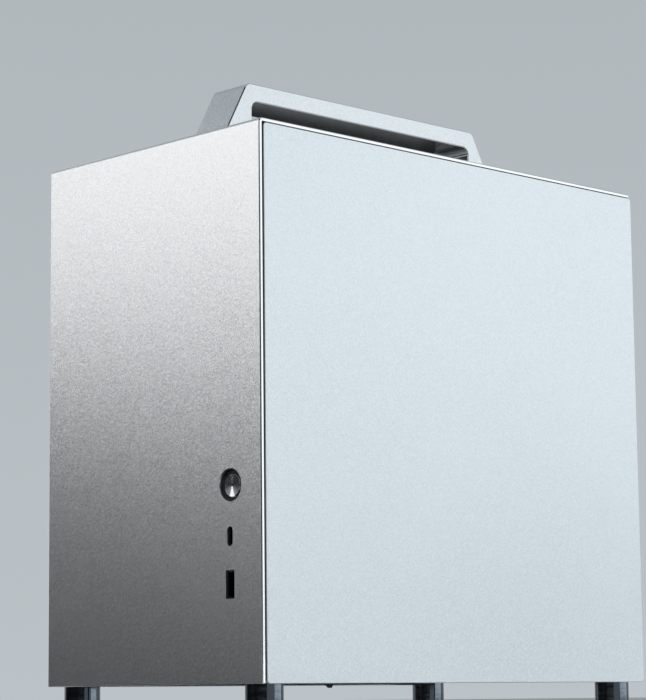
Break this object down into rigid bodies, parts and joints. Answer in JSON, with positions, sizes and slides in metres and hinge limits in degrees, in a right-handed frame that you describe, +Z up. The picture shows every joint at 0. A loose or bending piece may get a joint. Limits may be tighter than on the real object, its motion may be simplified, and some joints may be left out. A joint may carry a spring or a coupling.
{
  "type": "desktop computer tower",
  "caption": "Compact desktop computer tower: folded aluminium front and roof, lift-off side panels, carry handle, round feet, front power button with USB sockets, and the computer inside.",
  "frame": {"origin": "centre of the bounding box at its base: on the ground, under the middle of the case", "axes": "+Z up, the front with the power button faces -Y, the right-hand side panel faces +X"},
  "size_m": [0.174, 0.3, 0.352],
  "materials": {
    "shell_aluminium": "bead-blasted, clear anodised",
    "panel_aluminium": "fine bead-blasted, clear anodised",
    "handle_aluminium": "fine bead-blasted, clear anodised",
    "polished_foot": "turned and polished",
    "foot_rubber": "matte",
    "chassis_steel": "fine black powder coat",
    "black_plastic": "fine grain",
    "filter_plastic": "woven mesh in a moulded frame",
    "button_metal": "lathe-turned face",
    "socket_steel": "drawn, nickel plated",
    "circuit_board": "black solder mask",
    "heatsink_aluminium": "extruded",
    "nickel_pipe": "nickel plated",
    "cover_aluminium": "black anodised",
    "fan_plastic": "glass-filled moulding",
    "zinc_steel": "zinc plated",
    "black_screw_steel": "black oxide",
    "supply_steel": "black powder coat",
    "cable_sleeve": "woven sleeve",
    "clip_nylon": "natural nylon"
  },
  "bodies": {
    "chassis": {"ac_extension_lead": "cable_sleeve", "ac_inlet": "black_plastic", "atx_power_cable": "cable_sleeve", "board_connectors": "black_plastic", "board_standoffs": "zinc_steel", "bottom_plate": "chassis_steel", "carry_handle": "handle_aluminium", "case_screws": "black_screw_steel", "control_board": "circuit_board", "cooler_base": "nickel_pipe", "cooler_fan_frame": "fan_plastic", "cooler_fin_stack": "heatsink_aluminium", "cooler_heat_pipes": "nickel_pipe", "cpu_package": "socket_steel", "fan_guards": "zinc_steel", "foot_front_left": "polished_foot", "foot_front_right": "polished_foot", "foot_pads": "foot_rubber", "foot_rear_left": "polished_foot", "foot_rear_right": "polished_foot", "front_frame": "chassis_steel", "front_top_shell": "shell_aluminium", "front_usb_a_port": "socket_steel", "front_usb_c_port": "socket_steel", "front_usb_cable": "cable_sleeve", "gpu_bracket": "socket_steel", "gpu_circuit_board": "circuit_board", "gpu_display_ports": "socket_steel", "gpu_heatsink": "heatsink_aluminium", "gpu_power_cable": "cable_sleeve", "gpu_shroud": "black_plastic", "io_shield": "socket_steel", "m2_drive": "cover_aluminium", "memory_modules": "cover_aluminium", "motherboard": "circuit_board", "motherboard_tray": "chassis_steel", "panel_clips": "clip_nylon", "power_button_ring": "black_plastic", "power_switch": "black_plastic", "psu_bracket": "chassis_steel", "psu_circuit": "circuit_board", "psu_fan_frame": "fan_plastic", "psu_housing": "supply_steel", "rear_fan_frame": "fan_plastic", "rear_io_ports": "socket_steel", "rear_panel": "chassis_steel", "small_screws": "zinc_steel", "vrm_heatsink": "cover_aluminium"},
    "right_panel": {"right_side_panel": "panel_aluminium", "right_panel_studs": "zinc_steel"},
    "left_panel": {"left_side_panel": "panel_aluminium", "left_panel_studs": "zinc_steel"},
    "filter_tray": {"dust_filter": "filter_plastic"},
    "button": {"power_button": "button_metal"},
    "rear_fan": {"rear_fan_rotor": "fan_plastic"},
    "cooler_fan": {"cooler_fan_rotor": "fan_plastic"},
    "card_fan_front": {"gpu_fan_rotor_front": "fan_plastic"},
    "card_fan_rear": {"gpu_fan_rotor_rear": "fan_plastic"},
    "supply_fan": {"psu_fan_rotor": "fan_plastic"},
    "supply_rocker": {"psu_rocker_switch": "black_plastic"}
  },
  "joints": [
    {"name": "power_button_press", "type": "slide", "parent": "chassis", "child": "button", "axis": [0, 1, 0], "range_m": [0, 0.0008], "stiffness_N_per_m": 1500},
    {"name": "right_panel_pull", "type": "slide", "parent": "chassis", "child": "right_panel", "axis": [1, 0, 0], "range_m": [0, 0.12]},
    {"name": "left_panel_pull", "type": "slide", "parent": "chassis", "child": "left_panel", "axis": [-1, 0, 0], "range_m": [0, 0.12]},
    {"name": "dust_filter_pull", "type": "slide", "parent": "chassis", "child": "filter_tray", "axis": [0, 1, 0], "range_m": [0, 0.24]},
    {"name": "rear_fan_spin", "type": "hinge", "parent": "chassis", "child": "rear_fan", "pos_m": [-0.028, 0.137, 0.2374], "axis": [0, 1, 0], "continuous": true},
    {"name": "cooler_fan_spin", "type": "hinge", "parent": "chassis", "child": "cooler_fan", "pos_m": [-0.0187, 0.0355, 0.2354], "axis": [0, 1, 0], "continuous": true},
    {"name": "card_front_fan_spin", "type": "hinge", "parent": "chassis", "child": "card_fan_front", "pos_m": [0.0011, 0.0104, 0.1159], "axis": [0, 0, 1], "continuous": true},
    {"name": "card_rear_fan_spin", "type": "hinge", "parent": "chassis", "child": "card_fan_rear", "pos_m": [0.0011, 0.0914, 0.1159], "axis": [0, 0, 1], "continuous": true},
    {"name": "supply_fan_spin", "type": "hinge", "parent": "chassis", "child": "supply_fan", "pos_m": [0, -0.0554, 0.2112], "axis": [0, 1, 0], "continuous": true},
    {"name": "supply_rocker_tip", "type": "hinge", "parent": "chassis", "child": "supply_rocker", "pos_m": [0.004, -0.0984, 0.2778], "axis": [1, 0, 0], "range_deg": [-18, 0]}
  ]
}
